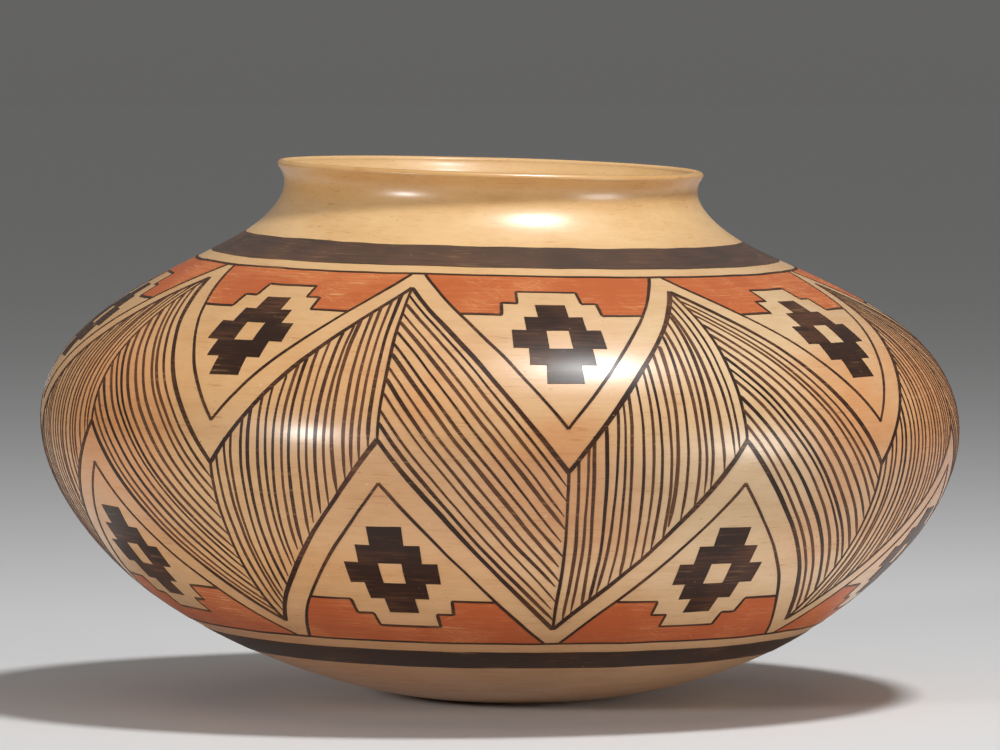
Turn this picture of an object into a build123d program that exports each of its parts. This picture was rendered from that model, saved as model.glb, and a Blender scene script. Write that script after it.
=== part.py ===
"""Pueblo pottery jar, built up by hand from coils of clay and fired.

The base is pressed in a shallow dish. Coils are laid on it in courses, each one on the
level edge of the course below, up over the belly and shoulder to the neck and the lip.
Millimetres, +Z up, front towards -Y, origin at the middle of the flat foot.
"""
import os

from build123d import *

# Outline of the jar, from the foot up
FOOT_DIAMETER = 46.0
BELLY_DIAMETER = 300.0
BELLY_HEIGHT = 90.0
SHOULDER_RISE = 58.0
NECK_RISE = 19.3
LIP_RISE = 7.0
THROAT_DIAMETER = 135.0
NECK_SPREAD = 19.1
LIP_FLARE = 2.1

# Slopes of the outline where the foot and the neck begin and at the lip, in degrees from level
FOOT_SLOPE = 4.5
NECK_SLOPE = 26.5
LIP_SLOPE = 60.0

# Fullness of the curves, as shares of the stretch each one bends over
UNDERSIDE_FULLNESS = 0.57
LOWER_FULLNESS = 0.40
SHOULDER_FULLNESS = 0.56
SHOULDER_REACH = 0.40
NECK_REACH = 0.59
NECK_HOLLOW = 0.33

# Thickness of the clay, and the lip's rounding as a share of its thickness
BASE_THICKNESS = 8.0
WALL = 6.0
LIP_THICKNESS = 3.4
LIP_ROUNDNESS = 0.44

# How far the hand-built jar leans, in degrees, how far its body sits off the middle of the foot
# and its neck off the body, and the share of the belly's height over which the lean comes in
BODY_LEAN_FRONT = 0.9
BODY_LEAN_RIGHT = 0.7
RIM_LEAN_FRONT = 1.35
RIM_LEAN_RIGHT = 1.75
BODY_OFFSET = -5.6
NECK_OFFSET = -3.1
SETTLING = 0.45

# Length of wall that is pressed in the dish, and the coils laid above it
BASE_REACH = 74.0
COIL_NAMES = [
    "lower_coil_1", "lower_coil_2", "lower_coil_3", "lower_coil_4",
    "belly_coil_1", "belly_coil_2", "belly_coil_3",
    "shoulder_coil_1", "shoulder_coil_2", "shoulder_coil_3", "shoulder_coil_4",
    "neck_coil", "rim_coil",
]

root_height = BELLY_HEIGHT + SHOULDER_RISE
throat_height = root_height + NECK_RISE
lip_height = throat_height + LIP_RISE
lip_rounding = LIP_ROUNDNESS * LIP_THICKNESS
lip_edge_height = lip_height - lip_rounding


def wall_line(base, clay, lip):
    """One side of the wall, set in from the outside by the clay's thickness at base, wall and lip."""
    up = Vector(0, 1)
    off_the_foot = Vector(1, 0).rotate(Axis.Z, FOOT_SLOPE)
    into_the_neck = Vector(-1, 0).rotate(Axis.Z, -NECK_SLOPE)
    through_the_neck = into_the_neck.rotate(Axis.Z, 90)
    out_over_the_lip = Vector(1, 0).rotate(Axis.Z, LIP_SLOPE)

    foot = Vector(FOOT_DIAMETER / 2, base)
    belly = Vector(BELLY_DIAMETER / 2 - clay, BELLY_HEIGHT)
    root = Vector(THROAT_DIAMETER / 2 + NECK_SPREAD, root_height) + through_the_neck * clay
    throat = Vector(THROAT_DIAMETER / 2 - (clay + lip) / 2, throat_height)
    lip_edge = Vector(THROAT_DIAMETER / 2 + LIP_FLARE - lip, lip_edge_height)

    underside_bend = UNDERSIDE_FULLNESS * (belly.X - foot.X)
    lower_bend = LOWER_FULLNESS * (belly.Y - foot.Y)
    upper_bend = SHOULDER_FULLNESS * (root.Y - belly.Y)
    shoulder_bend = SHOULDER_REACH * (belly.X - root.X)
    neck_bend = NECK_REACH * (root.X - throat.X)
    hollow_bend = NECK_HOLLOW * (throat.Y - root.Y)
    lip_bend = (lip_edge.Y - throat.Y) / 2

    # The radius runs along X and the height along Y
    with BuildLine() as line:
        Bezier(foot, foot + off_the_foot * underside_bend, belly - up * lower_bend, belly)
        Bezier(belly, belly + up * upper_bend, root - into_the_neck * shoulder_bend, root)
        Bezier(root, root + into_the_neck * neck_bend, throat - up * hollow_bend, throat)
        Bezier(throat, throat + up * lip_bend, lip_edge - out_over_the_lip * lip_bend, lip_edge)
    return line.wire()


outer_line = wall_line(0, 0, 0)
inner_line = wall_line(BASE_THICKNESS, WALL, LIP_THICKNESS)


def ease(height, start, end):
    """Rise smoothly from 0 at the start height to 1 at the end height."""
    share = min(max((height - start) / (end - start), 0), 1)
    return share * share * (3 - 2 * share)


def seat(height):
    """Plane on which a course lies: level at the foot, leaning a little further up."""
    body = ease(height, 0, BELLY_HEIGHT * SETTLING)
    neck = ease(height, BELLY_HEIGHT + SHOULDER_RISE / 2, lip_height)
    front = BODY_LEAN_FRONT * body + (RIM_LEAN_FRONT - BODY_LEAN_FRONT) * neck
    right = BODY_LEAN_RIGHT * body + (RIM_LEAN_RIGHT - BODY_LEAN_RIGHT) * neck
    return Plane((BODY_OFFSET * body + NECK_OFFSET * neck, 0, height)).rotated((front, right, 0))


def share_at(line, height):
    """How far up a line of the wall a height is reached."""
    low, high = 0.0, 1.0
    for halving in range(40):
        middle = (low + high) / 2
        if line.position_at(middle).Y < height:
            low = middle
        else:
            high = middle
    return low


def circles(line, low, high, count):
    """Heights and radii of the round sections up a line of the wall, from one height to another."""
    start, end = share_at(line, low), share_at(line, high)
    found = [(low, line.position_at(start).X)]
    for step in range(1, count):
        point = line.position_at(start + (end - start) * step / count)
        found.append((point.Y, point.X))
    found.append((high, line.position_at(end).X))
    return found


def lip_circles(edge_radius, inwards):
    """Heights and radii over the rounded edge of the lip, up to its top."""
    found = []
    for angle in (30, 60, 90):
        turn = Vector(1, 0).rotate(Axis.Z, angle)
        height = lip_height - lip_rounding * (1 - turn.Y)
        found.append((height, edge_radius - inwards * lip_rounding * (1 - turn.X)))
    return found


def save(piece, name):
    """Name a finished piece and write it."""
    piece.label = name
    export_step(piece, f"parts/{name}.step")


base_share = BASE_REACH / outer_line.length
coil_share = (1 - base_share) / len(COIL_NAMES)
beds = [outer_line.position_at(base_share + coil_share * n).Y for n in range(len(COIL_NAMES))]

os.makedirs("parts", exist_ok=True)

with BuildPart() as moulded_base:
    for height, radius in circles(outer_line, 0, beds[0], 12):
        with BuildSketch(seat(height)):
            Circle(radius)
    loft()
    for height, radius in circles(inner_line, BASE_THICKNESS, beds[0], 12):
        with BuildSketch(seat(height)):
            Circle(radius)
    loft(mode=Mode.SUBTRACT)
save(moulded_base.part, "moulded_base")

for name, bed, next_bed in zip(COIL_NAMES[:-1], beds, beds[1:]):
    with BuildPart() as coil:
        for height, radius in circles(outer_line, bed, next_bed, 4):
            with BuildSketch(seat(height)):
                Circle(radius)
        loft()
        for height, radius in circles(inner_line, bed, next_bed, 4):
            with BuildSketch(seat(height)):
                Circle(radius)
        loft(mode=Mode.SUBTRACT)
    save(coil.part, name)

lip_radius = THROAT_DIAMETER / 2 + LIP_FLARE
with BuildPart() as rim_coil:
    for height, radius in circles(outer_line, beds[-1], lip_edge_height, 8) + lip_circles(lip_radius, 1):
        with BuildSketch(seat(height)):
            Circle(radius)
    loft()
    lip_inside = lip_circles(lip_radius - LIP_THICKNESS, -1)
    for height, radius in circles(inner_line, beds[-1], lip_edge_height, 8) + lip_inside:
        with BuildSketch(seat(height)):
            Circle(radius)
    loft(mode=Mode.SUBTRACT)
save(rim_coil.part, COIL_NAMES[-1])
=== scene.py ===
"""Looks of a coil-built pueblo pottery jar, laid out as a Blender add-on and run as a script.

The clay courses are turned from their sections and leaned as the hand-built jar leans. The
paint is laid out flat, in turns round the jar and metres up its wall, and wrapped on the wall.
"""
from math import ceil, cos, pi, radians, sin
from random import Random

import bpy
import numpy as np
from bpy.props import FloatProperty, FloatVectorProperty, IntProperty, PointerProperty
from bpy.types import Operator, Panel, PropertyGroup
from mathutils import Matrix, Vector


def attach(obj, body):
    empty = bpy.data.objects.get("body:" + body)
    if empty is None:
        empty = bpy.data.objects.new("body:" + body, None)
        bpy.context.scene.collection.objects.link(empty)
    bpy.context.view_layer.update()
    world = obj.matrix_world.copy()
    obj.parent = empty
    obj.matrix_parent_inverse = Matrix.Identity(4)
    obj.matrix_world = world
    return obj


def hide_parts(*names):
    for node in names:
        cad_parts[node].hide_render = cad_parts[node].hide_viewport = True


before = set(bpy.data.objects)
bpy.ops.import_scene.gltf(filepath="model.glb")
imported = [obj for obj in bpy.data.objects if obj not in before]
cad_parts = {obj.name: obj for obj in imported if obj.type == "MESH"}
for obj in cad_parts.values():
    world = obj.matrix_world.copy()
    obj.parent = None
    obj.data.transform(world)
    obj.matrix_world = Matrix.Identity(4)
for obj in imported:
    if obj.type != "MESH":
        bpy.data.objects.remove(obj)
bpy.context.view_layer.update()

bl_info = {
    "name": "Pueblo Pottery Jar",
    "version": (1, 0, 0),
    "blender": (4, 5, 0),
    "location": "View3D > Sidebar > Jar",
    "description": "Builds the clay courses and the painted decoration of a coil-built jar",
    "category": "Add Mesh",
}

BODY = "root"
MM = 0.001

COURSES = [
    "moulded_base",
    "lower_coil_1", "lower_coil_2", "lower_coil_3", "lower_coil_4",
    "belly_coil_1", "belly_coil_2", "belly_coil_3",
    "shoulder_coil_1", "shoulder_coil_2", "shoulder_coil_3", "shoulder_coil_4",
    "neck_coil", "rim_coil",
]

# Points of a mesh that are nearer to each other than this are joined
JOIN = 0.001 * MM

# Corners of two courses that are nearer than this share their shading
SHADE_MATCH = 0.01 * MM

# Edges of paint that turn further than this are sharp
SHARP = radians(40)

# Radius of the drum round which noise is read, so that it closes on itself
DRUM = 130 * MM


def length(name, description, value):
    """A length in metres that a user may change."""
    return FloatProperty(
        name=name, description=description, default=value,
        subtype="DISTANCE", unit="LENGTH", precision=5,
    )


def share(name, description, value):
    """A share of a stretch, from 0 to 1."""
    return FloatProperty(
        name=name, description=description, default=value, min=0.0, max=1.0, subtype="FACTOR",
    )


def angle(name, description, degrees):
    """An angle, given in degrees."""
    return FloatProperty(
        name=name, description=description, default=radians(degrees),
        subtype="ANGLE", unit="ROTATION",
    )


def colour(name, description, value):
    """A linear colour."""
    return FloatVectorProperty(
        name=name, description=description, default=value,
        size=3, min=0.0, max=1.0, subtype="COLOR",
    )


class JarForm(PropertyGroup):
    """Sizes of the clay, the same as those of the solids."""

    foot_diameter: length("Foot", "Width of the flat that the jar stands on", 46 * MM)
    belly_diameter: length("Belly", "Greatest width", 300 * MM)
    belly_height: length("Belly height", "Height of the greatest width", 90 * MM)
    shoulder_rise: length("Shoulder rise", "From the belly up to the root of the neck", 58 * MM)
    neck_rise: length("Neck rise", "From the root of the neck up to the throat", 19.3 * MM)
    lip_rise: length("Lip rise", "From the throat up to the top of the lip", 7 * MM)
    throat_diameter: length("Throat", "Narrowest width of the neck", 135 * MM)
    neck_spread: length("Neck spread", "How much wider than the throat the neck begins", 19.1 * MM)
    lip_flare: length("Lip flare", "How far the lip turns out past the throat", 2.1 * MM)
    foot_slope: angle("Foot slope", "Slope of the underside beside the foot", 4.5)
    neck_slope: angle("Neck slope", "Slope of the wall at the root of the neck", 26.5)
    lip_slope: angle("Lip slope", "Slope of the wall at the lip", 60)
    underside_fullness: share("Underside fullness", "How far it runs before it turns up", 0.57)
    lower_fullness: share("Lower fullness", "How much of the lower wall is upright", 0.40)
    shoulder_fullness: share("Shoulder fullness", "How much of the upper belly is upright", 0.56)
    shoulder_reach: share("Shoulder reach", "How far the shoulder keeps the neck's slope", 0.40)
    neck_reach: share("Neck reach", "How far the neck keeps the slope of its root", 0.59)
    neck_hollow: share("Neck hollow", "How much of the neck is upright", 0.33)
    base_thickness: length("Base thickness", "Thickness of the clay at the foot", 8 * MM)
    wall: length("Wall", "Thickness of the wall", 6 * MM)
    lip_thickness: length("Lip thickness", "Thickness of the lip", 3.4 * MM)
    lip_roundness: share("Lip roundness", "Rounding of the lip, as a share of its thickness", 0.44)
    base_reach: length("Base reach", "Length of wall that is pressed in the dish", 74 * MM)
    body_lean_front: angle("Body lean front", "Lean of the body to the front", 0.9)
    body_lean_right: angle("Body lean right", "Lean of the body to the right", 0.7)
    rim_lean_front: angle("Rim lean front", "Lean of the rim to the front", 1.35)
    rim_lean_right: angle("Rim lean right", "Lean of the rim to the right", 1.75)
    body_offset: length("Body offset", "How far the body sits off the foot's middle", -5.6 * MM)
    neck_offset: length("Neck offset", "How far the neck sits off the body", -3.1 * MM)
    settling: share("Settling", "Share of the belly's height over which the lean comes in", 0.45)
    unevenness: length("Unevenness", "How far the smoothed wall wanders in and out", 0.7 * MM)
    uneven_size: length("Uneven size", "Distance from one swell of the wall to the next", 75 * MM)
    spokes: IntProperty(name="Spokes", description="Corners round the jar", default=288, min=12)
    row_step: length("Row step", "Distance between the rows of faces up the wall", 1.6 * MM)


class JarPaint(PropertyGroup):
    """Places and sizes of the painted bands and of the frieze between them."""

    top_band_low: length("Upper band, low edge", "Distance up the wall", 251.2 * MM)
    top_band_high: length("Upper band, high edge", "Distance up the wall", 264.5 * MM)
    top_line: length("Upper framing line", "Distance up the wall", 245.7 * MM)
    low_line: length("Lower framing line", "Distance up the wall", 87.5 * MM)
    low_band_low: length("Lower band, low edge", "Distance up the wall", 67.5 * MM)
    low_band_high: length("Lower band, high edge", "Distance up the wall", 80.8 * MM)
    frame_line: length("Framing line width", "Width of the two lines along the frieze", 1.1 * MM)
    border_line: length("Border width", "Width of the lines round the hatched panels", 1.5 * MM)
    fine_line: length("Fine line width", "Width of a single stroke of hatching", 1.0 * MM)
    hatch_pitch: length("Hatch pitch", "Distance from one stroke to the next", 3.0 * MM)
    repeats: IntProperty(name="Repeats", description="Figures round the jar", default=8, min=2)
    lift: length("Lift", "Height of the paint over the clay", 0.12 * MM)
    coat: length("Coat", "Depth of the coat of paint", 0.2 * MM)
    wander: length("Wander", "How far a hand-drawn line wanders", 0.9 * MM)
    wander_size: length("Wander size", "Distance over which a line wanders", 30 * MM)
    phase: FloatProperty(
        name="Phase", default=0.71,
        description="Where round the jar the first figure begins, in turns",
    )


class JarColours(PropertyGroup):
    """Colours of the clay and the paints."""

    cream: colour("Cream clay", "Polished clay of the neck and shoulder", (0.74, 0.48, 0.225))
    tan: colour("Tan clay", "Polished clay of the belly", (0.66, 0.385, 0.170))
    pale: colour("Pale clay", "Clay on the flank that the fire left pale", (0.69, 0.50, 0.295))
    blush: colour("Fire blush", "Clay that the fire has turned orange", (0.64, 0.285, 0.105))
    dark: colour("Dark paint", "Mineral paint of the bands and lines", (0.027, 0.012, 0.007))
    dark_thin: colour("Thin dark paint", "Dark paint of a dry brush", (0.120, 0.047, 0.021))
    red: colour("Red paint", "Red clay paint", (0.44, 0.102, 0.029))
    red_thin: colour("Thin red paint", "Red paint where it lies thin", (0.59, 0.195, 0.066))


# Node trees


class NodeBuilder:
    """Adds nodes to a tree and joins their sockets."""

    def __init__(self, tree):
        self.tree = tree

    def put(self, value, socket):
        """Join a socket to another one, or give it a value."""
        if isinstance(value, bpy.types.NodeSocket):
            self.tree.links.new(value, socket)
        else:
            socket.default_value = value

    def fill(self, node, inputs):
        """Fill a node's inputs, by name or by number."""
        for name, value in inputs.items():
            self.put(value, node.inputs[name])

    def add(self, kind, inputs=None, **settings):
        """Add a node, set it up and fill its inputs."""
        node = self.tree.nodes.new(kind)
        for name, value in settings.items():
            setattr(node, name, value)
        self.fill(node, inputs or {})
        return node

    def out(self, kind, inputs=None, **settings):
        """Add a node and give its first output."""
        return self.add(kind, inputs, **settings).outputs[0]

    def math(self, operation, *values):
        """One step of arithmetic on numbers."""
        return self.out("ShaderNodeMath", dict(enumerate(values)), operation=operation)

    def vector(self, operation, *values):
        """One step of arithmetic on vectors."""
        return self.out("ShaderNodeVectorMath", dict(enumerate(values)), operation=operation)

    def distance(self, first, second):
        """How far apart two places are."""
        node = self.add("ShaderNodeVectorMath", {0: first, 1: second}, operation="DISTANCE")
        return node.outputs["Value"]

    def scaled(self, vector, factor):
        """A vector times a number."""
        inputs = {"Vector": vector, "Scale": factor}
        return self.out("ShaderNodeVectorMath", inputs, operation="SCALE")

    def turned(self, vector, turn, axis):
        """A vector turned about an axis."""
        inputs = {"Vector": vector, "Angle": turn}
        return self.out("ShaderNodeVectorRotate", inputs, rotation_type=axis + "_AXIS")

    def xyz(self, x, y, z):
        """A vector from three numbers."""
        return self.out("ShaderNodeCombineXYZ", {"X": x, "Y": y, "Z": z})

    def round_middle(self, radius, turn, height):
        """A place from its radius, its angle round the middle and its height."""
        x = self.math("MULTIPLY", radius, self.math("COSINE", turn))
        y = self.math("MULTIPLY", radius, self.math("SINE", turn))
        return self.xyz(x, y, height)

    def split(self, vector):
        """The three numbers of a vector."""
        return self.add("ShaderNodeSeparateXYZ", {"Vector": vector}).outputs

    def ramp(self, value, start, end, low=0.0, high=1.0):
        """A number that goes smoothly from low to high as the value goes from start to end."""
        inputs = {"Value": value, "From Min": start, "From Max": end, "To Min": low, "To Max": high}
        return self.out("ShaderNodeMapRange", inputs, interpolation_type="SMOOTHSTEP")

    def noise(self, place, scale, detail, roughness):
        """Soft noise, as its value and its colour."""
        inputs = {"Vector": place, "Scale": scale, "Detail": detail, "Roughness": roughness}
        return self.add("ShaderNodeTexNoise", inputs).outputs

    def drift(self, place, size, detail, roughness):
        """A vector that wanders about zero, over distances of a size."""
        noise = self.noise(place, self.math("DIVIDE", 1.0, size), detail, roughness)
        return self.vector("SUBTRACT", noise["Color"], (0.5, 0.5, 0.5))

    def mix(self, factor, first, second, blend="MIX"):
        """One colour mixed with another; each is a socket or three numbers."""
        first, second = (
            value if isinstance(value, bpy.types.NodeSocket) else (*value, 1.0)
            for value in (first, second)
        )
        inputs = {0: factor, 6: first, 7: second}
        node = self.add("ShaderNodeMix", inputs, data_type="RGBA", blend_type=blend)
        return node.outputs[2]


def new_tree(name, inputs):
    """An empty geometry tree with named inputs: its builder, those inputs and its output."""
    tree = bpy.data.node_groups.new(name, "GeometryNodeTree")
    for way in ("INPUT", "OUTPUT"):
        tree.interface.new_socket("Geometry", in_out=way, socket_type="NodeSocketGeometry")
    for label, kind, value in inputs:
        socket = tree.interface.new_socket(label, in_out="INPUT", socket_type="NodeSocket" + kind)
        if value is not None:
            socket.default_value = value
    build = NodeBuilder(tree)
    given = build.add("NodeGroupInput").outputs
    result = build.add("NodeGroupOutput").inputs["Geometry"]
    return build, given, result


def finish_tree(build, given, result, geometry, lean):
    """Join the seams of what a tree has made, lean it, shade it smooth and give it its material."""
    joined = build.out("GeometryNodeMergeByDistance", {"Geometry": geometry, "Distance": JOIN})
    leaning = build.out("GeometryNodeGroup", {"Geometry": joined}, node_tree=lean)
    smooth = build.out("GeometryNodeSetShadeSmooth", {"Geometry": leaning})
    whole = build.out("GeometryNodeRealizeInstances", {"Geometry": smooth})
    finish = {"Geometry": whole, "Material": given["Material"]}
    build.put(build.out("GeometryNodeSetMaterial", finish), result)
    return build.tree


def lean_tree(form):
    """Tree that leans upright clay or paint as the hand-built jar does, a little unevenly."""
    build, given, result = new_tree("hand_built_lean", [
        ("Body Lean Front", "Float", form.body_lean_front),
        ("Body Lean Right", "Float", form.body_lean_right),
        ("Rim Lean Front", "Float", form.rim_lean_front),
        ("Rim Lean Right", "Float", form.rim_lean_right),
        ("Body Offset", "Float", form.body_offset),
        ("Neck Offset", "Float", form.neck_offset),
        ("Settling Height", "Float", form.belly_height * form.settling),
        ("Neck Start", "Float", form.belly_height + form.shoulder_rise / 2),
        ("Lip Height", "Float", lip_height(form)),
        ("Unevenness", "Float", form.unevenness),
        ("Uneven Size", "Float", form.uneven_size),
    ])
    position = build.out("GeometryNodeInputPosition")
    x, y, height = build.split(position)
    body = build.ramp(height, 0.0, given["Settling Height"])
    neck = build.ramp(height, given["Neck Start"], given["Lip Height"])

    level = build.xyz(x, y, 0.0)
    for way, axis in (("Right", "Y"), ("Front", "X")):
        body_lean, rim_lean = given["Body Lean " + way], given["Rim Lean " + way]
        further = build.math("SUBTRACT", rim_lean, body_lean)
        low = build.math("MULTIPLY", body_lean, body)
        level = build.turned(level, build.math("MULTIPLY_ADD", further, neck, low), axis)
    aside = build.math("MULTIPLY", given["Body Offset"], body)
    aside = build.math("MULTIPLY_ADD", given["Neck Offset"], neck, aside)
    middle = build.xyz(aside, 0.0, height)
    swell = build.drift(position, given["Uneven Size"], detail=1.0, roughness=0.5)
    swell = build.scaled(swell, build.math("MULTIPLY", given["Unevenness"], body))
    place = build.vector("ADD", build.vector("ADD", level, middle), swell)
    moved = {"Geometry": given["Geometry"], "Position": place}
    build.put(build.out("GeometryNodeSetPosition", moved), result)
    return build.tree


def turning_tree(form, lean):
    """Tree that turns a section, a row of points, into a ring of clay about the jar's middle."""
    build, given, result = new_tree("turn_clay_course", [
        ("Spokes", "Int", form.spokes),
        ("Material", "Material", None),
    ])
    section = given["Geometry"]
    counts = build.add("GeometryNodeAttributeDomainSize", {"Geometry": section})
    rows = counts.outputs["Point Count"]
    columns = build.math("ADD", given["Spokes"], 1.0)
    grid = build.out("GeometryNodeMeshGrid", {"Vertices X": columns, "Vertices Y": rows})

    # Each point of the grid takes its row's place in the section; the half guards the rounding
    index = build.out("GeometryNodeInputIndex")
    row = build.math("MODULO", index, rows)
    spoke = build.math("FLOOR", build.math("DIVIDE", build.math("ADD", index, 0.5), rows))
    turn = build.math("MULTIPLY", build.math("DIVIDE", spoke, given["Spokes"]), 2 * pi)

    def from_section(value, kind):
        inputs = {"Geometry": section, "Value": value, "Index": row}
        return build.out("GeometryNodeSampleIndex", inputs, data_type=kind)

    point = from_section(build.out("GeometryNodeInputPosition"), "FLOAT_VECTOR")
    moved = {"Geometry": grid, "Position": build.turned(point, turn, "Z")}
    clay = build.out("GeometryNodeSetPosition", moved)
    for label in ("up_wall", "inside"):
        named = build.out("GeometryNodeInputNamedAttribute", {"Name": label})
        marked = {"Geometry": clay, "Name": label, "Value": from_section(named, "FLOAT")}
        clay = build.out("GeometryNodeStoreNamedAttribute", marked)
    return finish_tree(build, given, result, clay, lean)


def wrapping_tree(paint, lean):
    """Tree that repeats flat paint round the jar and wraps it on the outside of the wall."""
    build, given, result = new_tree("wrap_paint_on_wall", [
        ("Wall Line", "Object", None),
        ("Wall Length", "Float", None),
        ("Copies", "Int", 1),
        ("Step", "Float", 1.0),
        ("Phase", "Float", paint.phase),
        ("Lift", "Float", paint.lift),
        ("Wander", "Float", paint.wander),
        ("Wander Size", "Float", paint.wander_size),
        ("Girth Radius", "Float", DRUM),
        ("Material", "Material", None),
    ])
    offset = build.xyz(given["Step"], 0.0, 0.0)
    line = build.out("GeometryNodeMeshLine", {"Count": given["Copies"], "Offset": offset})
    copies = {"Points": line, "Instance": given["Geometry"]}
    flat = build.out("GeometryNodeInstanceOnPoints", copies)
    flat = build.out("GeometryNodeRealizeInstances", {"Geometry": flat})

    turns, up_wall, unused = build.split(build.out("GeometryNodeInputPosition"))
    turn = build.math("MULTIPLY", build.math("ADD", turns, given["Phase"]), 2 * pi)

    # A hand-drawn line wanders a little, as far to one side as to the other
    drum = given["Girth Radius"]
    reading = build.round_middle(drum, turn, up_wall)
    drift = build.drift(reading, given["Wander Size"], detail=4.0, roughness=0.45)
    drift = build.scaled(build.scaled(drift, given["Wander"]), 2.0)
    drift_round, drift_up, unused = build.split(drift)
    turn = build.math("ADD", turn, build.math("DIVIDE", drift_round, drum))
    up_wall = build.math("ADD", up_wall, drift_up)

    # The paint lies on the wall's line, lifted square to it
    wall = build.add("GeometryNodeObjectInfo", {"Object": given["Wall Line"]}).outputs["Geometry"]
    way_up = build.math("DIVIDE", up_wall, given["Wall Length"])
    sampling = {"Curves": wall, "Factor": way_up}
    sample = build.add("GeometryNodeSampleCurve", sampling, mode="FACTOR").outputs
    radius, unused, height = build.split(sample["Position"])
    along, unused, rising = build.split(sample["Tangent"])
    radius = build.math("MULTIPLY_ADD", rising, given["Lift"], radius)
    height = build.math("SUBTRACT", height, build.math("MULTIPLY", along, given["Lift"]))
    kept = {"Geometry": flat, "Name": "up_wall", "Value": up_wall}
    flat = build.out("GeometryNodeStoreNamedAttribute", kept)
    moved = {"Geometry": flat, "Position": build.round_middle(radius, turn, height)}
    wrapped = build.out("GeometryNodeSetPosition", moved)
    return finish_tree(build, given, result, wrapped, lean)


def made_once(store, name, make, *values):
    """A node tree or a material by its name, made the first time it is asked for."""
    return store.get(name) or make(*values)


def add_object(name, data):
    """An object of the scene, at the origin."""
    piece = bpy.data.objects.new(name, data)
    bpy.context.scene.collection.objects.link(piece)
    return piece


def apply_tree(source, tree, inputs, coat_depth=None):
    """Run a geometry tree on an object and leave its result as a plain mesh of the same name."""
    modifier = source.modifiers.new(tree.name, "NODES")
    modifier.node_group = tree
    for item in tree.interface.items_tree:
        if item.in_out == "INPUT" and item.name in inputs:
            modifier[item.identifier] = inputs[item.name]
    if coat_depth:
        coat = source.modifiers.new("coat", "SOLIDIFY")
        coat.thickness = coat_depth
        coat.offset = -1.0
    graph = bpy.context.evaluated_depsgraph_get()
    mesh = bpy.data.meshes.new_from_object(source.evaluated_get(graph))
    name, flat = source.name, source.data
    bpy.data.objects.remove(source)
    bpy.data.meshes.remove(flat)
    mesh.name = name
    return add_object(name, mesh)


# The wall's two lines, in radius and height


def lip_height(form):
    """Height of the top of the lip."""
    return form.belly_height + form.shoulder_rise + form.neck_rise + form.lip_rise


def lip_rounding(form):
    """Radius of the lip's two rounded edges."""
    return form.lip_roundness * form.lip_thickness


def curve_points(start, leave, arrive, end, count=60):
    """Points along a cubic curve from its two ends and the handles between them."""
    t = np.linspace(0.0, 1.0, count)[:, None]
    s = 1 - t
    return s ** 3 * start + 3 * s ** 2 * t * leave + 3 * s * t ** 2 * arrive + t ** 3 * end


class WallLine:
    """One side of the wall, set in from the outside by the clay at base, wall and lip."""

    def __init__(self, form, base=0.0, clay=0.0, lip=0.0):
        up = np.array((0.0, 1.0))
        off_the_foot = np.array((cos(form.foot_slope), sin(form.foot_slope)))
        into_the_neck = np.array((-cos(form.neck_slope), sin(form.neck_slope)))
        through_the_neck = np.array((-into_the_neck[1], into_the_neck[0]))
        out_over_the_lip = np.array((cos(form.lip_slope), sin(form.lip_slope)))
        throat_radius = form.throat_diameter / 2
        root_height = form.belly_height + form.shoulder_rise
        throat_height = root_height + form.neck_rise
        edge_height = lip_height(form) - lip_rounding(form)

        foot = np.array((form.foot_diameter / 2, base))
        belly = np.array((form.belly_diameter / 2 - clay, form.belly_height))
        root = np.array((throat_radius + form.neck_spread, root_height)) + through_the_neck * clay
        throat = np.array((throat_radius - (clay + lip) / 2, throat_height))
        edge = np.array((throat_radius + form.lip_flare - lip, edge_height))

        underside_bend = off_the_foot * form.underside_fullness * (belly[0] - foot[0])
        lower_bend = up * form.lower_fullness * (belly[1] - foot[1])
        upper_bend = up * form.shoulder_fullness * (root[1] - belly[1])
        shoulder_bend = into_the_neck * form.shoulder_reach * (belly[0] - root[0])
        neck_bend = into_the_neck * form.neck_reach * (root[0] - throat[0])
        hollow_bend = up * form.neck_hollow * (throat[1] - root[1])
        lip_bend = (edge[1] - throat[1]) / 2
        curves = [
            curve_points(foot, foot + underside_bend, belly - lower_bend, belly),
            curve_points(belly, belly + upper_bend, root - shoulder_bend, root),
            curve_points(root, root + neck_bend, throat - hollow_bend, throat),
            curve_points(throat, throat + up * lip_bend, edge - out_over_the_lip * lip_bend, edge),
        ]
        self.points = np.vstack([curves[0], *(curve[1:] for curve in curves[1:])])
        steps = np.linalg.norm(np.diff(self.points, axis=0), axis=1)
        self.reach = np.concatenate(([0.0], np.cumsum(steps)))

    @property
    def length(self):
        """Length of the whole line."""
        return self.reach[-1]

    def radius(self, reach):
        """Radius at a distance up the wall."""
        return np.interp(reach, self.reach, self.points[:, 0])

    def height(self, reach):
        """Height at a distance up the wall."""
        return np.interp(reach, self.reach, self.points[:, 1])

    def reach_at(self, height):
        """Distance up the wall at which a height is reached."""
        return np.interp(height, self.points[:, 1], self.reach)

    def as_object(self):
        """The line as a curve, for the tree that wraps paint on it."""
        data = bpy.data.curves.new("outer_line", "CURVE")
        data.dimensions = "3D"
        spline = data.splines.new("POLY")
        spline.points.add(len(self.points) - 1)
        for point, (radius, height) in zip(spline.points, self.points):
            point.co = (radius, 0.0, height, 1.0)
        return add_object("outer_line", data)


def outer_line(form):
    """The outside of the wall."""
    return WallLine(form)


def inner_line(form):
    """The inside of the wall."""
    return WallLine(form, form.base_thickness, form.wall, form.lip_thickness)


def bed_reaches(form, line):
    """Distances up the outside at which one course ends and the next lies on it."""
    coils = len(COURSES) - 1
    step = (line.length - form.base_reach) / coils
    return [form.base_reach + step * n for n in range(coils + 1)]


# Clay


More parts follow.
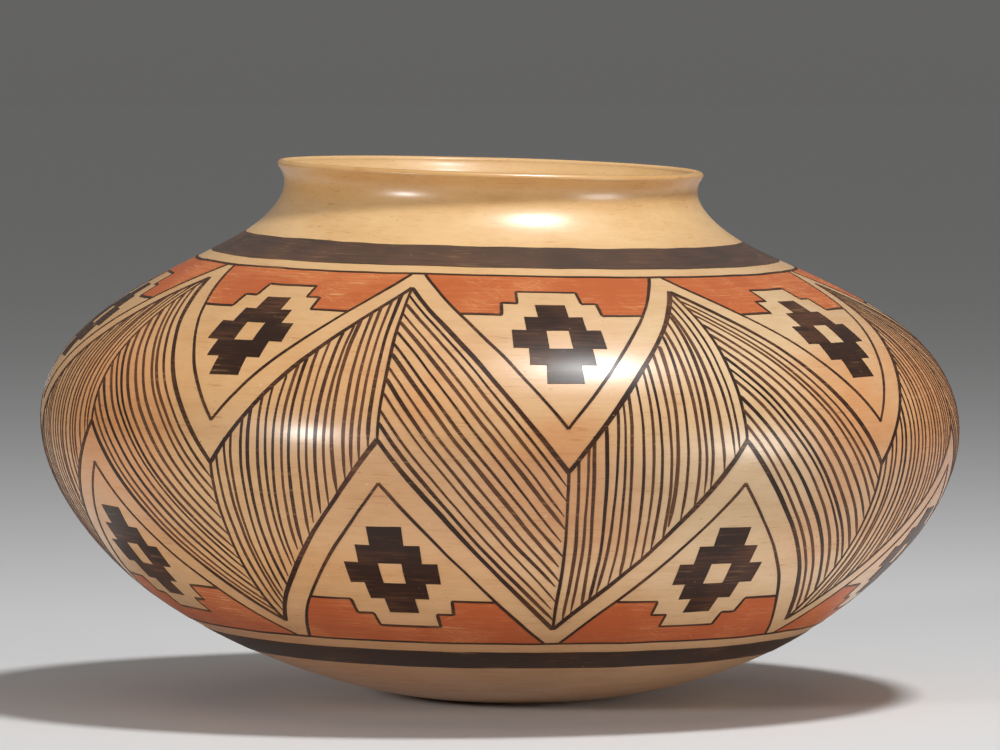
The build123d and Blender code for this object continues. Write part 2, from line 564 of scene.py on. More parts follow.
def stretch(line, start, end, step):
    """Points of a wall line between two distances up it."""
    count = max(2, ceil(abs(end - start) / step))
    reaches = np.linspace(start, end, count + 1)
    return [(line.radius(reach), line.height(reach), reach) for reach in reaches]


def lip_arc(form, edge_radius, inwards):
    """Points over one rounded edge of the lip, up to its top."""
    rounding, top = lip_rounding(form), lip_height(form)
    found = []
    for degrees in range(15, 91, 15):
        turn = radians(degrees)
        radius = edge_radius - inwards * rounding * (1 - cos(turn))
        found.append((radius, top - rounding * (1 - sin(turn)), rounding * turn))
    return found


def course_section(form, number, floor_rings=9):
    """Closed section of one course: radius, height, distance up the wall and 1 inside the jar.

    The distance runs up the outside, over the lip and down the inside to the middle of the floor.
    """
    first, last = number == 0, number == len(COURSES) - 1
    outer, inner = outer_line(form), inner_line(form)
    beds = bed_reaches(form, outer)
    low, high = 0.0 if first else beds[number - 1], beds[number]
    inner_low = 0.0 if first else inner.reach_at(outer.height(low))
    inner_high = inner.length if last else inner.reach_at(outer.height(high))
    lip_inside = outer.length + 2 * form.lip_thickness
    floor_edge = lip_inside + inner.length
    outside = [point + (0.0,) for point in stretch(outer, low, high, form.row_step)]
    walls = stretch(inner, inner_low, inner_high, form.row_step)
    inside = [(radius, height, floor_edge - reach, 1.0) for radius, height, reach in walls]
    if last:
        lip_radius = form.throat_diameter / 2 + form.lip_flare
        over = lip_arc(form, lip_radius, 1)
        under = lip_arc(form, lip_radius - form.lip_thickness, -1)
        outside += [(radius, height, outer.length + way, 0.0) for radius, height, way in over]
        inside += [(radius, height, lip_inside - way, 1.0) for radius, height, way in under]
    section = outside + inside[::-1]
    if first:
        edge, top = form.foot_diameter / 2, form.base_thickness
        flat = np.linspace(0.0, edge, floor_rings + 1)[:-1]
        underside = [(radius, 0.0, radius - edge, 0.0) for radius in flat]
        floor = [(radius, top, floor_edge + edge - radius, 1.0) for radius in flat[::-1]]
        return underside + section + floor
    return section + section[:1]


def section_object(name, section):
    """The points of a section, with what the clay's material reads."""
    mesh = bpy.data.meshes.new(name)
    mesh.from_pydata([(radius, 0.0, height) for radius, height, up, inside in section], [], [])
    for label, column in (("up_wall", 2), ("inside", 3)):
        attribute = mesh.attributes.new(label, "FLOAT", "POINT")
        attribute.data.foreach_set("value", [point[column] for point in section])
    return add_object(name, mesh)


def read(items, name, width=1):
    """One property of every item of a mesh, as an array."""
    values = np.empty(len(items) * width)
    items.foreach_get(name, values)
    return values.reshape(-1, width) if width > 1 else values


def share_normals(pieces):
    """Carry the smooth shading of the wall over the beds, so that no joint shows in the polish."""
    keys, pulls, counts = [], [], []
    for number, piece in enumerate(pieces):
        mesh = piece.data
        vertex = read(mesh.loops, "vertex_index").astype(int)
        starts = read(mesh.polygons, "loop_start").astype(int)
        corners = read(mesh.polygons, "loop_total").astype(int)
        normals = read(mesh.polygons, "normal", 3)

        # A bed runs from the outside to the inside; over the lip the shading goes on
        marks = read(mesh.attributes["inside"].data, "value")[vertex]
        on_bed = np.maximum.reduceat(marks, starts) > np.minimum.reduceat(marks, starts) + 0.5
        if number == len(pieces) - 1:
            on_bed &= normals[:, 2] < 0
        side = np.where(on_bed, (number + 1) * np.sign(normals[:, 2]), 0)
        place = np.round(read(mesh.vertices, "co", 3)[vertex] / SHADE_MATCH)
        keys.append(np.column_stack((place, np.repeat(side, corners))))
        pulls.append(np.repeat(normals * read(mesh.polygons, "area")[:, None], corners, axis=0))
        counts.append(len(vertex))
    groups = np.unique(np.vstack(keys), axis=0, return_inverse=True)[1].ravel()
    sums = np.zeros((groups.max() + 1, 3))
    np.add.at(sums, groups, np.vstack(pulls))
    sums /= np.maximum(np.linalg.norm(sums, axis=1, keepdims=True), np.finfo(float).tiny)
    for piece, part in zip(pieces, np.split(sums[groups], np.cumsum(counts)[:-1])):
        piece.data.normals_split_custom_set(part.tolist())


# Materials

# Heights between which one colour or finish gives way to another
CREAM_ABOVE = (0.132, 0.158)
BELLY_BELOW = (0.156, 0.124)
# Heights over which the low wall is painted lighter, as painted light thrown up from the floor
BOUNCE_LIT_WALL = (0.070, 0.050)
# Heights near the foot where the clay is painted darker and warmer, as painted shade of the jar's
# own shadow
FOOT_SHADE = (0.040, 0.024)
# Heights under the lip where the clay is yellower, and darkened further as painted shade of the
# lip's shadow
UNDER_LIP_TONE_AND_SHADE = (0.158, 0.167)
DEEP_INSIDE = (0.166, 0.152)

# Distances up the wall between which a painted sheen, a grey standing for the overhead light's
# reflection, comes in on the paint
SHEEN_FROM = (0.247, 0.251)
PAINTED_SHEEN = (0.13, 0.10, 0.085)

# Depth of the polishing marks and brush marks
RELIEF = 0.4 * MM

# Middles, reaches and strengths of the blushes where flames touched the belly
FIRE_BLUSHES = (
    ((-0.030, -0.145, 0.104), 0.030, 0.85),
    ((0.013, -0.149, 0.080), 0.042, 0.85),
    ((0.110, -0.098, 0.088), 0.050, 0.85),
    ((-0.128, -0.080, 0.095), 0.055, 0.85),
    ((-0.075, 0.125, 0.085), 0.050, 0.85),
    ((0.095, 0.115, 0.075), 0.040, 0.85),
    ((-0.030, -0.142, 0.086), 0.075, 0.40),
    ((0.138, -0.045, 0.090), 0.075, 0.85),
)

# Slants of the scratches in the red, as metres up the wall for each metre across
RED_SLANTS = (0.5, -0.65, 1.1)


def new_material(name):
    """A material with an empty node tree, its builder and its surface shader."""
    material = bpy.data.materials.new(name)
    material.use_nodes = True
    material.node_tree.nodes.clear()
    build = NodeBuilder(material.node_tree)
    shader = build.add("ShaderNodeBsdfPrincipled")
    build.add("ShaderNodeOutputMaterial", {"Surface": shader.outputs[0]})
    return material, build, shader


class WallReading:
    """Where a point is: its place, its height, and how far round a drum and up the wall."""

    def __init__(self, build):
        self.build = build
        self.place = build.add("ShaderNodeTexCoord").outputs["Object"]
        self.across, y, self.height = build.split(self.place)
        level = build.vector("NORMALIZE", build.xyz(self.across, y, 0.0))
        self.drum_x, self.drum_y, unused = build.split(build.scaled(level, DRUM))
        self.up_wall = self.mark("up_wall")

    def mark(self, name):
        """A number kept on the piece itself."""
        return self.build.add("ShaderNodeAttribute", attribute_name=name).outputs["Fac"]

    def spots(self, scale, detail, shift=0.0):
        """Cloudy noise, the same in every direction."""
        place = self.place
        if shift:
            place = self.build.vector("ADD", place, (shift, shift, shift))
        return self.build.noise(place, scale, detail, roughness=0.55)["Fac"]

    def streaks(self, along, across, detail, slant=0.0):
        """Noise drawn out round the jar, level or slanting, as a stone or a brush leaves it."""
        build, up = self.build, self.up_wall
        if slant:
            up = build.math("MULTIPLY_ADD", self.drum_x, slant, up)
        place = build.xyz(
            build.math("MULTIPLY", self.drum_x, along),
            build.math("MULTIPLY", self.drum_y, along),
            build.math("MULTIPLY", up, across),
        )
        return build.noise(place, 1.0, detail, roughness=0.6)["Fac"]


def clay_material(colours):
    """Stone-burnished clay: cream above, tan on the belly, with blushes, streaks and pits."""
    material, build, shader = new_material("burnished_clay")
    wall = WallReading(build)
    marked = wall.mark("inside")
    inside = build.math("MULTIPLY", marked, build.ramp(wall.height, *DEEP_INSIDE))
    on_belly = build.ramp(wall.height, *BELLY_BELOW)
    clouds = wall.spots(9.0, 5.0, shift=3.1)
    mottling = wall.spots(48.0, 5.0)
    polish = wall.streaks(30.0, 210.0, 4.0)
    grain = wall.streaks(150.0, 1100.0, 3.0)
    scuff = build.ramp(wall.spots(430.0, 2.0, shift=5.3), 0.72, 0.77)
    pit = build.ramp(wall.spots(980.0, 2.0), 0.715, 0.755)

    # Cream over tan, pale on the flank, and orange where flames licked the belly
    ground = build.mix(build.ramp(wall.height, *CREAM_ABOVE), colours.tan, colours.cream)
    flank = build.math("MULTIPLY_ADD", clouds, 0.22, build.math("SUBTRACT", wall.across, 0.11))
    pale = build.math("MULTIPLY", build.ramp(flank, -0.10, 0.10, high=0.8), on_belly)
    pale = build.math("MULTIPLY", pale, build.ramp(wall.across, 0.134, 0.104, low=0.1))
    ground = build.mix(pale, ground, colours.pale)
    blush = build.ramp(clouds, 0.50, 0.74, high=0.45)
    lick = build.math("SUBTRACT", wall.spots(30.0, 4.0, shift=1.7), 0.5)
    for middle, reach, strength in FIRE_BLUSHES:
        away = build.math("MULTIPLY_ADD", lick, 0.06, build.distance(wall.place, middle))
        blush = build.math("MAXIMUM", blush, build.ramp(away, reach, reach * 0.15, high=strength))
    ground = build.mix(build.math("MULTIPLY", blush, on_belly), ground, colours.blush)

    # Where each tint lies, and what it multiplies the clay by
    # Under the lip the clay is yellower and also darkened as painted shade of the lip's shadow,
    # less so inside
    outside_more = build.ramp(marked, 0.0, 1.0, 1.0, 0.4)
    lip_tone_and_shade = build.math("MULTIPLY", build.ramp(wall.height, *UNDER_LIP_TONE_AND_SHADE), outside_more)
    hairline = build.ramp(wall.streaks(95.0, 1900.0, 1.0), 0.66, 0.73)
    hairline = build.math("MULTIPLY", hairline, build.ramp(mottling, 0.44, 0.62, high=0.6))
    for where, tint in (
        (build.ramp(mottling, 0.38, 0.75, high=0.55), (0.88, 0.79, 0.68)),
        (build.ramp(polish, 0.42, 0.76, high=0.50), (0.86, 0.76, 0.62)),
        (build.ramp(grain, 0.45, 0.80, high=0.35), (0.82, 0.71, 0.57)),
        # painted light from the floor, lightening the low wall
        (build.ramp(wall.height, *BOUNCE_LIT_WALL), (1.18, 1.16, 1.17)),
        # painted shade near the foot, darker and warmer
        (build.ramp(wall.height, *FOOT_SHADE), (0.97, 0.85, 0.73)),
        # yellower clay and painted shade of the lip's shadow
        (lip_tone_and_shade, (0.86, 0.76, 0.61)),
        (hairline, (0.62, 0.44, 0.30)),
        (build.math("MULTIPLY", inside, 0.6), (0.88, 0.84, 0.80)),
    ):
        ground = build.mix(where, ground, tint, "MULTIPLY")
    ground = build.mix(build.math("MULTIPLY", scuff, 0.35), ground, (0.82, 0.66, 0.46))
    ground = build.mix(build.math("MULTIPLY", pit, 0.6), ground, (0.17, 0.09, 0.05))

    rough = build.ramp(polish, 0.30, 0.75, 0.36, 0.44)
    for where, rougher in ((marked, 0.14), (inside, 0.15), (pit, 0.2)):
        rough = build.math("MULTIPLY_ADD", where, rougher, rough)
    dull = build.math("MAXIMUM", inside, build.math("MULTIPLY", marked, 0.6))
    relief = build.math("MULTIPLY_ADD", wall.streaks(14.0, 260.0, 2.0), 2.5, grain)
    relief = build.math("MULTIPLY_ADD", pit, -1.2, relief)
    bump = {"Strength": 0.08, "Distance": RELIEF, "Height": relief}
    build.fill(shader, {
        "Base Color": ground,
        "Roughness": rough,
        "Coat Weight": build.ramp(dull, 0.0, 1.0, 0.70, 0.02),
        "Coat Roughness": 0.26,
        "Normal": build.out("ShaderNodeBump", bump),
    })
    return material


def paint_material(name, full, thin, clay, scratched, slants=()):
    """Mineral paint: streaked by the brush, thin where it ran dry, worn in specks and scratches."""
    material, build, shader = new_material(name)
    wall = WallReading(build)
    brush = wall.streaks(38.0, 1300.0, 3.0)
    patch = wall.spots(40.0, 5.0)
    dry = build.math("MULTIPLY_ADD", brush, 0.42, build.math("MULTIPLY", patch, 0.46))
    dry = build.math("MULTIPLY_ADD", wall.mark("thin"), 0.22, dry)
    scratch = wall.streaks(75.0, 1100.0, 1.0)
    for slant in slants:
        scratch = build.math("MAXIMUM", scratch, wall.streaks(150.0, 1500.0, 2.0, slant))
    in_patches = build.ramp(patch, 0.36, 0.60, high=scratched)
    scratch = build.math("MULTIPLY", build.ramp(scratch, 0.62, 0.74), in_patches)
    worn = build.ramp(wall.spots(900.0, 2.0, shift=2.3), 0.715, 0.765)
    worn = build.math("MULTIPLY", worn, build.ramp(patch, 0.40, 0.62, 0.15, 0.75))

    coat = build.mix(build.ramp(dry, 0.42, 0.70), full, thin)
    coat = build.mix(build.math("MAXIMUM", worn, scratch), coat, clay)
    # Painted light from the floor, lightening the paint on the low wall
    coat = build.mix(build.ramp(wall.height, *BOUNCE_LIT_WALL), coat, (1.20, 1.12, 1.12), "MULTIPLY")
    # Painted sheen: paint high on the wall is greyed as if it caught the overhead light
    coat = build.mix(build.ramp(wall.up_wall, *SHEEN_FROM, high=0.28), coat, PAINTED_SHEEN)
    bump = {"Strength": 0.12, "Distance": RELIEF, "Height": brush}
    build.fill(shader, {
        "Base Color": coat,
        "Roughness": build.ramp(dry, 0.35, 0.75, 0.38, 0.54),
        "Specular IOR Level": 0.10,
        "Coat Weight": 0.30,
        "Coat Roughness": 0.28,
        "Normal": build.out("ShaderNodeBump", bump),
    })
    return material


def clay_of(scene):
    """The finish of the clay."""
    return made_once(bpy.data.materials, "burnished_clay", clay_material, scene.jar_colours)


def dark_paint(scene):
    """The finish of the dark paint."""
    colours = scene.jar_colours
    finish = ("dark_paint", colours.dark, colours.dark_thin, colours.tan, 0.18)
    return made_once(bpy.data.materials, "dark_paint", paint_material, *finish)


def red_paint(scene):
    """The finish of the red paint."""
    colours = scene.jar_colours
    finish = ("red_paint", colours.red, colours.red_thin, colours.cream, 0.4, RED_SLANTS)
    return made_once(bpy.data.materials, "red_paint", paint_material, *finish)


# Paint

# How a free stroke varies: how far it starts early or late, stops short and bows, in
# millimetres, then how loaded the brush is, how dry it runs and how narrow it ends
SLIP, SHORT, BOW = (-0.4, 0.6), (-1.6, 2.6), (-0.6, 0.6)
LOADED, DRYNESS, TIP = (0.75, 1.25), (0.1, 1.0), 0.35

# Share of its width at which a stroke is set down, and the lengths over which it widens and ends
SET_DOWN, WIDENING, ENDING = 0.7, 4 * MM, 8 * MM

# How far a stroke swells and thins along its way, and over what length
SWELLING, SWELL_LENGTH = 0.12, 9 * MM

# How thin the paint of a filled field lies
FIELD_THIN = (0.1, 0.4)


class FlatPaint:
    """Paint laid out flat: turns round the jar along X, metres up the wall along Y."""

    def __init__(self, line, seed=0, step=4 * MM):
        self.line = line
        self.hand = Random(seed)
        self.step = step
        self.points = []
        self.faces = []
        self.thin = []

    def girth(self, up_wall):
        """Length of one turn round the outside at a distance up the wall."""
        return 2 * pi * float(self.line.radius(up_wall))

    def span(self, first, second):
        """Real distance between two places."""
        across = (second[0] - first[0]) * self.girth((first[1] + second[1]) / 2)
        return (across ** 2 + (second[1] - first[1]) ** 2) ** 0.5

    def rows(self, rows, thin):
        """Join rows of points into faces; thin says how thin the paint lies on each row."""
        width = len(rows[0])
        base = len(self.points)
        for row, thinness in zip(rows, thin):
            self.points += [(x, y, 0.0) for x, y in row]
            self.thin += [thinness] * width
        for r in range(len(rows) - 1):
            for c in range(width - 1):
                corner = base + r * width + c
                self.faces.append((corner, corner + 1, corner + width + 1, corner + width))

    def field(self, low_edge, high_edge):
        """A filled field between two edges, each given by as many places."""
        widest = max(self.span(*ends) for ends in zip(low_edge, high_edge))
        rows = max(1, ceil(widest / self.step))
        low_edge, high_edge = np.array(low_edge), np.array(high_edge)
        found = [low_edge + (high_edge - low_edge) * r / rows for r in range(rows + 1)]
        self.rows(found, [self.hand.uniform(*FIELD_THIN)] * len(found))

    def band(self, low, high, thin, columns=360):
        """A band all the way round."""
        rows = max(1, ceil((high - low) / self.step))
        heights = [low + (high - low) * r / rows for r in range(rows + 1)]
        found = [[(c / columns, up) for c in range(columns + 1)] for up in heights]
        self.rows(found, [thin] * len(found))

    def stroke(self, start, end, width, free=False):
        """A brush line; a free one bows, varies in width, runs dry, tapers and may stop short."""
        start, end = np.array(start, float), np.array(end, float)
        draw = self.hand.uniform
        real = self.span(start, end)
        bow, loaded, dry, tip = 0.0, 1.0, 0.2, 1.0
        if free:
            along = (end - start) / real
            start = start + along * draw(*SLIP) * MM
            end = end - along * max(0.0, draw(*SHORT)) * MM
            bow, loaded, dry, tip = draw(*BOW) * MM, draw(*LOADED), draw(*DRYNESS), TIP
        swell = draw(0.0, 2 * pi)

        # Two rows more, where the line has widened and where it begins to end
        count = max(2, ceil(real / self.step))
        widened, ending = min(0.4, 1.2 * MM / real), max(0.6, 1 - 5 * MM / real)
        shares = sorted({0.0, widened, ending, 1.0, *(n / count for n in range(count + 1))})
        found, thin = [], []
        for done in shares:
            place = start + (end - start) * done
            girth = self.girth(place[1])
            run = np.array(((end[0] - start[0]) * girth, end[1] - start[1]))
            run /= np.linalg.norm(run)
            aside = np.array((-run[1] / girth, run[0]))
            place = place + aside * bow * 4 * done * (1 - done)
            ends = min(1.0, SET_DOWN + done * real / WIDENING, tip + (1 - done) * real / ENDING)
            wave = 1 + SWELLING * sin(swell + real / SWELL_LENGTH * done)
            half = width / 2 * loaded * ends * wave
            found.append([tuple(place + aside * half), tuple(place - aside * half)])
            thin.append(min(1.0, dry + 0.3 * done))
        self.rows(found, thin)

    def as_object(self, name):
        """The flat paint as a mesh, with every face upwards."""
        mesh = bpy.data.meshes.new(name)
        mesh.from_pydata(self.points, [], self.faces)
        mesh.update()
        for face in mesh.polygons:
            if face.normal.z < 0:
                face.flip()
        mesh.attributes.new("thin", "FLOAT", "POINT").data.foreach_set("value", self.thin)
        return add_object(name, mesh)


class Frieze:
    """Places in the frieze: figures across, and shares of the way up between the framing lines."""

    def __init__(self, paint):
        self.low = paint.low_line
        self.high = paint.top_line
        self.repeats = paint.repeats

    def at(self, across, up):
        """A place, in turns round the jar and metres up the wall."""
        return across / self.repeats, self.low + (self.high - self.low) * up

    def flipped(self, across, up):
        """The same place half a figure on and upside down."""
        return self.at(across + 0.5, 1 - up)

    @property
    def bays(self):
        """The bays over and under the zigzag in two figures: their middle and how to fill them."""
        return [(figure + 0.5, place) for figure in range(2) for place in (self.at, self.flipped)]


# The zigzag's crest, half its height and its fall per figure, and the plain strip beside it
CREST = 0.735
HALF_BAND = 0.205
FALL = 2 * (2 * CREST - 1)
STRIP = 0.085
BAY_APEX = 1 - CREST + HALF_BAND + STRIP

# Low edge, high edge and half width of the steps of the notch in the red and of the dark figure
NOTCH_STEPS = ((0.845, 0.89, 0.165), (0.89, 0.935, 0.11))
FIGURE_STEPS = (
    (0.65, 0.695, 0.05),
    (0.695, 0.74, 0.095),
    (0.74, 0.795, 0.14),
    (0.795, 0.84, 0.095),
    (0.84, 0.885, 0.05),
)
FIGURE_WIDEST = max(half for low, high, half in FIGURE_STEPS)
FIGURE_EYE = 0.035

# Cuts across the red and the dark figure, shared by all their steps so that these join
RED_CUTS = (0.0, 0.0275, 0.055, 0.0825, 0.11, 0.1375, 0.165)
FIGURE_CUTS = sorted({0.0, FIGURE_EYE, *(half for low, high, half in FIGURE_STEPS)})

# How far a stroke of hatching strays, as shares of the pitch and of a figure
STRAY, SLANT = 0.14, 0.008


def zigzag(across, side):
    """Height of the zigzag's edge, above (1) or below (-1) its middle."""
    return CREST - FALL * min(across, 1 - across) + side * HALF_BAND


def bay_width(up):
    """Half the width of a bay at a height, inside its guard lines."""
    return (up - BAY_APEX) / FALL


def hatching(flat, frieze, paint):
    """Fine lines in the zigzag: long ones down its falling legs, upright ones on the others."""
    unevenly = flat.hand.uniform
    rise = frieze.high - frieze.low
    half_figure = 0.5 * flat.girth((frieze.low + frieze.high) / 2) / frieze.repeats
    leg = (half_figure ** 2 + (FALL / 2 * rise) ** 2) ** 0.5
    lines = round(2 * HALF_BAND * rise * half_figure / leg / paint.hatch_pitch)
    uprights = round(half_figure / paint.hatch_pitch)

    def under_edge(n):
        return 2 * HALF_BAND * (n + unevenly(-STRAY, STRAY)) / lines

    for figure in range(2):
        for n in range(1, lines):
            start = frieze.at(figure, CREST + HALF_BAND - under_edge(n))
            end = frieze.at(figure + 0.5, 1 - CREST + HALF_BAND - under_edge(n))
            flat.stroke(start, end, paint.fine_line, free=True)
        for n in range(1, uprights):
            across = 0.5 + 0.5 * (n + unevenly(-STRAY, STRAY)) / uprights
            slant = unevenly(-SLANT, SLANT)
            low = frieze.at(figure + across - slant, zigzag(across, -1))
            high = frieze.at(figure + across + slant, zigzag(across, 1))
            flat.stroke(high, low, paint.fine_line, free=True)


def borders(flat, frieze, paint):
    """Dark lines along the zigzag, across its turns, and along the bays above and below it."""
    for figure in range(2):
        def edge(across, side):
            return frieze.at(figure + across, zigzag(across, side))

        for side in (1, -1):
            for start, end in ((0.0, 0.5), (0.5, 1.0)):
                flat.stroke(edge(start, side), edge(end, side), paint.border_line)
        for across in (0.0, 0.5):
            flat.stroke(edge(across, -1), edge(across, 1), paint.fine_line)
    for middle, place in frieze.bays:
        for side in (-1, 1):
            top = place(middle + side * bay_width(1.0), 1.0)
            flat.stroke(top, place(middle, BAY_APEX), paint.fine_line)


def step_in_bay(flat, middle, place, low, high, cuts):
    """One step of a shape on both sides of a bay's middle; cuts gives its cuts at a height."""
    for side in (-1, 1):
        edges = [[place(middle + side * cut, up) for cut in cuts(up)] for up in (low, high)]
        flat.field(*edges)


def red_fields(flat, frieze, paint):
    """Red fields against the framing lines, each with a stepped notch."""
    for middle, place in frieze.bays:
        for low, high, notch in (*NOTCH_STEPS, (NOTCH_STEPS[-1][1], 1.0, 0.0)):
            def cuts(up):
                inner = [cut for cut in RED_CUTS[:-1] if cut >= notch]
                return inner + list(np.linspace(RED_CUTS[-1], bay_width(up), 9))

            step_in_bay(flat, middle, place, low, high, cuts)


def dark_figures(flat, frieze, paint):
    """Dark stepped figures under the red, each with an unpainted eye, and lines along the red."""
    shelf = NOTCH_STEPS[0][0]
    red_edge = [(bay_width(shelf), shelf)]
    for low, high, half in NOTCH_STEPS:
        red_edge += [(half, low), (half, high)]
    red_edge.append((0.0, NOTCH_STEPS[-1][1]))
    for middle, place in frieze.bays:
        for low, high, half in FIGURE_STEPS:
            eye = FIGURE_EYE if half == FIGURE_WIDEST else 0.0
            cuts = [cut for cut in FIGURE_CUTS if eye <= cut <= half]
            step_in_bay(flat, middle, place, low, high, lambda up: cuts)
        for side in (-1, 1):
            corners = [place(middle + side * across, up) for across, up in red_edge]
            for start, end in zip(corners, corners[1:]):
                flat.stroke(start, end, paint.fine_line)


# Operators

# Place of each softbox, what it points at, its width and its power in watts
SOFTBOXES = {
    "overhead_softbox": ((0.42, -0.32, 1.62), (0.0, 0.0, 0.1), 0.26, 22.4),
    "left_softbox": ((-1.235, -1.165, 0.44), (0.0, 0.0, 0.09), 0.24, 12.0),
    "right_softbox": ((1.48, -0.79, 0.19), (0.0, 0.0, 0.09), 0.60, 10.0),
}

# The floor's reach to each side and its finish
FLOOR_REACH = 40.0
FLOOR_FINISH = {
    "Base Color": (0.64, 0.64, 0.645, 1.0), "Roughness": 0.8, "Specular IOR Level": 0.1,
}

# The soft room: its colour, and its strength at eye level, as dim as the far floor, and overhead
ROOM_COLOUR = (1.0, 0.99, 0.97, 1.0)
ROOM_STRENGTH = (0.125, 0.23)

# The camera's place, how many degrees it looks down, its lens, its sensor and how far it sees
CAMERA_PLACE = (-0.00556, -2.2, 0.2031)
CAMERA_DIP = 2.537
CAMERA_LENS = 242.35
CAMERA_SENSOR = 36.0
CAMERA_FAR = 200.0


def finish_piece(piece, slot, nodes=()):
    """Set a piece on the jar's body and hide the nodes it stands for; the slot it is given is not
    used.
    """
    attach(piece, BODY)
    if nodes:
        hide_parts(*nodes)


def leaning_tree(name, make, form, sizes):
    """The turning or the wrapping tree, with the jar's lean in it."""
    trees = bpy.data.node_groups
    return made_once(trees, name, make, sizes, made_once(trees, "hand_built_lean", lean_tree, form))


def wrap_paint(context, flat, name, material, slot, copies=1, lift=1.0):
    """Wrap flat paint on the wall as a thin coat, copied evenly round, and set it on the jar."""
    form, paint = context.scene.jar_form, context.scene.jar_paint
    tree = leaning_tree("wrap_paint_on_wall", wrapping_tree, form, paint)
    line = flat.line.as_object()
    inputs = {
        "Wall Line": line, "Wall Length": float(flat.line.length),
        "Copies": copies, "Step": 1.0 / copies, "Phase": paint.phase, "Lift": paint.lift * lift,
        "Wander": paint.wander, "Wander Size": paint.wander_size, "Material": material,
    }
    piece = apply_tree(flat.as_object(name), tree, inputs, paint.coat)
    piece.data.set_sharp_from_angle(angle=SHARP)
    bpy.data.curves.remove(line.data)
    finish_piece(piece, slot)


class JAR_OT_clay_courses(Operator):
    """Turn the moulded base and every coil, each one in place of its solid"""

    bl_idname = "jar.clay_courses"
    bl_label = "Clay Courses"

    def execute(self, context):
        form = context.scene.jar_form
        tree = leaning_tree("turn_clay_course", turning_tree, form, form)
        inputs = {"Spokes": form.spokes, "Material": clay_of(context.scene)}
        pieces = []
        for number, name in enumerate(COURSES):
            source = section_object("clay_" + name, course_section(form, number))
            pieces.append(apply_tree(source, tree, inputs))
        share_normals(pieces)
        for piece, name in zip(pieces, COURSES):
            finish_piece(piece, "clay", [name])
        return {"FINISHED"}


class JAR_OT_painted_bands(Operator):
    """Paint the two broad bands and the two framing lines round the jar"""

    bl_idname = "jar.painted_bands"
    bl_label = "Painted Bands"

    def execute(self, context):
        paint = context.scene.jar_paint
        line = outer_line(context.scene.jar_form)
        dark = dark_paint(context.scene)
        half = paint.frame_line / 2
        for name, low, high, thin in (
            # The last number, how thin the paint lies, also paints the upper band lighter as
            # painted sheen and the lower band darker as painted shade
            ("upper_band", paint.top_band_low, paint.top_band_high, 0.45),
            ("lower_band", paint.low_band_low, paint.low_band_high, 0.0),
            ("upper_framing_line", paint.top_line - half, paint.top_line + half, 0.2),
            ("lower_framing_line", paint.low_line - half, paint.low_line + half, 0.2),
        ):
            flat = FlatPaint(line)
            flat.band(low, high, thin)
            wrap_paint(context, flat, name, dark, "dark_paint", lift=1.2)
        return {"FINISHED"}


class JAR_OT_frieze(Operator):
    """Paint the frieze: hatched zigzag, its borders, the red fields and the dark stepped figures"""

    bl_idname = "jar.frieze"
    bl_label = "Painted Frieze"

    def execute(self, context):
        paint = context.scene.jar_paint
        line = outer_line(context.scene.jar_form)
        frieze = Frieze(paint)
        dark, red = dark_paint(context.scene), red_paint(context.scene)
        for name, draw, material, slot, lift, seed in (
            ("frieze_red_fields", red_fields, red, "red_paint", 0.6, 7),
            ("frieze_hatching", hatching, dark, "dark_paint", 1.0, 3),
            ("frieze_dark_figures", dark_figures, dark, "dark_paint", 1.15, 11),
            ("frieze_borders", borders, dark, "dark_paint", 1.3, 5),
        ):
            flat = FlatPaint(line, seed)
            draw(flat, frieze, paint)
            wrap_paint(context, flat, name, material, slot, paint.repeats // 2, lift)
        return {"FINISHED"}


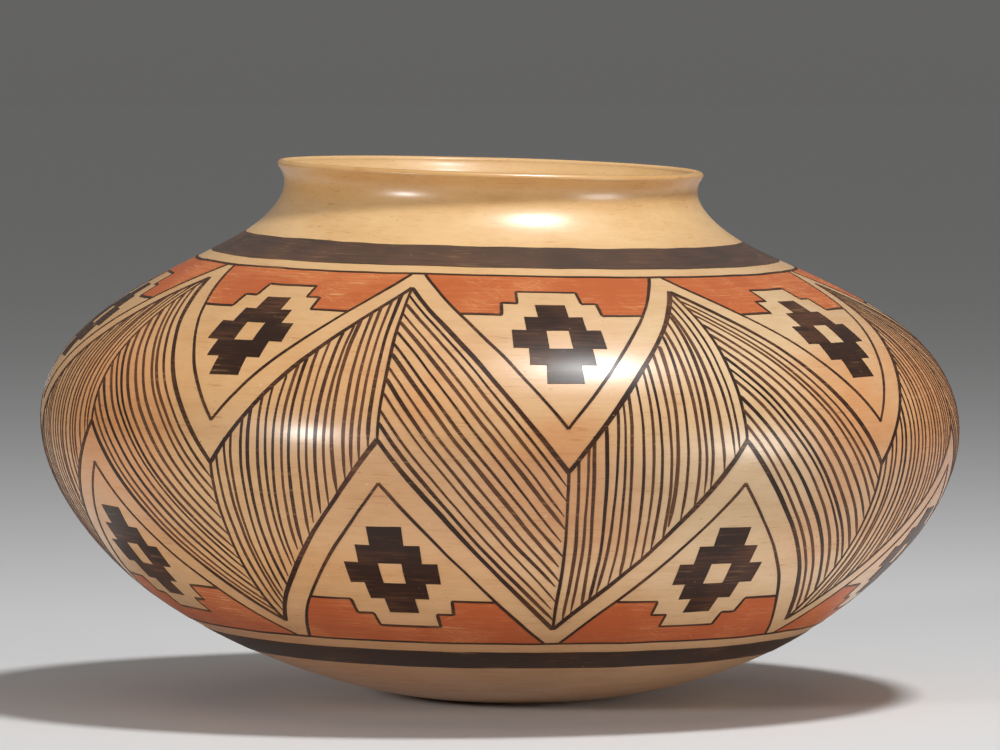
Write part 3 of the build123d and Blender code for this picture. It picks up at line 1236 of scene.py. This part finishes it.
class JAR_OT_studio(Operator):
    """Set up the floor, the soft light and the camera"""

    bl_idname = "jar.studio"
    bl_label = "Studio"

    def execute(self, context):
        scene = context.scene
        corners = [(x * FLOOR_REACH, y * FLOOR_REACH, 0)
                   for x, y in ((-1, -1), (1, -1), (1, 1), (-1, 1))]
        floor_mesh = bpy.data.meshes.new("floor")
        floor_mesh.from_pydata(corners, [], [(0, 1, 2, 3)])
        material, build, shader = new_material("pale_floor")
        build.fill(shader, FLOOR_FINISH)
        floor_mesh.materials.append(material)
        floor = add_object("floor", floor_mesh)

        world = bpy.data.worlds.new("soft_room")
        world.use_nodes = True
        build = NodeBuilder(world.node_tree)
        upwards = build.split(build.add("ShaderNodeTexCoord").outputs["Generated"])[2]
        dim, bright = ROOM_STRENGTH
        strength = {"Value": upwards, "To Min": dim, "To Max": bright}
        build.fill(world.node_tree.nodes["Background"], {
            "Color": ROOM_COLOUR,
            "Strength": build.out("ShaderNodeMapRange", strength),
        })
        scene.world = world

        for name, (place, target, size, power) in SOFTBOXES.items():
            light = bpy.data.lights.new(name, "AREA")
            light.shape = "DISK"
            light.size = size
            light.energy = power
            lamp = add_object(name, light)
            lamp.location = place
            towards = Vector(target) - Vector(place)
            lamp.rotation_euler = towards.to_track_quat("-Z", "Y").to_euler()

        camera = bpy.data.cameras.new("camera")
        camera.sensor_width = CAMERA_SENSOR
        camera.lens = CAMERA_LENS
        camera.clip_end = CAMERA_FAR
        view = add_object("camera", camera)
        view.location = CAMERA_PLACE
        view.rotation_euler = (radians(90 - CAMERA_DIP), 0.0, 0.0)
        scene.camera = view
        scene.view_settings.view_transform = "Standard"
        return {"FINISHED"}


class JAR_PT_panel(Panel):
    """The jar's pieces, sizes and colours"""

    bl_idname = "JAR_PT_panel"
    bl_label = "Pueblo Pottery Jar"
    bl_space_type = "VIEW_3D"
    bl_region_type = "UI"
    bl_category = "Jar"

    def draw(self, context):
        column = self.layout.column(align=True)
        for operator in OPERATORS:
            column.operator(operator.bl_idname)
        for label in GROUPS:
            group = getattr(context.scene, label)
            box = self.layout.box()
            for name in group.bl_rna.properties.keys():
                if name not in ("rna_type", "name"):
                    box.prop(group, name)


GROUPS = {"jar_form": JarForm, "jar_paint": JarPaint, "jar_colours": JarColours}
OPERATORS = (JAR_OT_clay_courses, JAR_OT_painted_bands, JAR_OT_frieze, JAR_OT_studio)
CLASSES = (*GROUPS.values(), *OPERATORS, JAR_PT_panel)


def register():
    for cls in CLASSES:
        bpy.utils.register_class(cls)
    for label, group in GROUPS.items():
        setattr(bpy.types.Scene, label, PointerProperty(type=group))


def unregister():
    for label in GROUPS:
        delattr(bpy.types.Scene, label)
    for cls in reversed(CLASSES):
        bpy.utils.unregister_class(cls)


def main():
    register()
    bpy.ops.jar.clay_courses()
    bpy.ops.jar.painted_bands()
    bpy.ops.jar.frieze()
    bpy.ops.jar.studio()


if __name__ == "__main__":
    main()
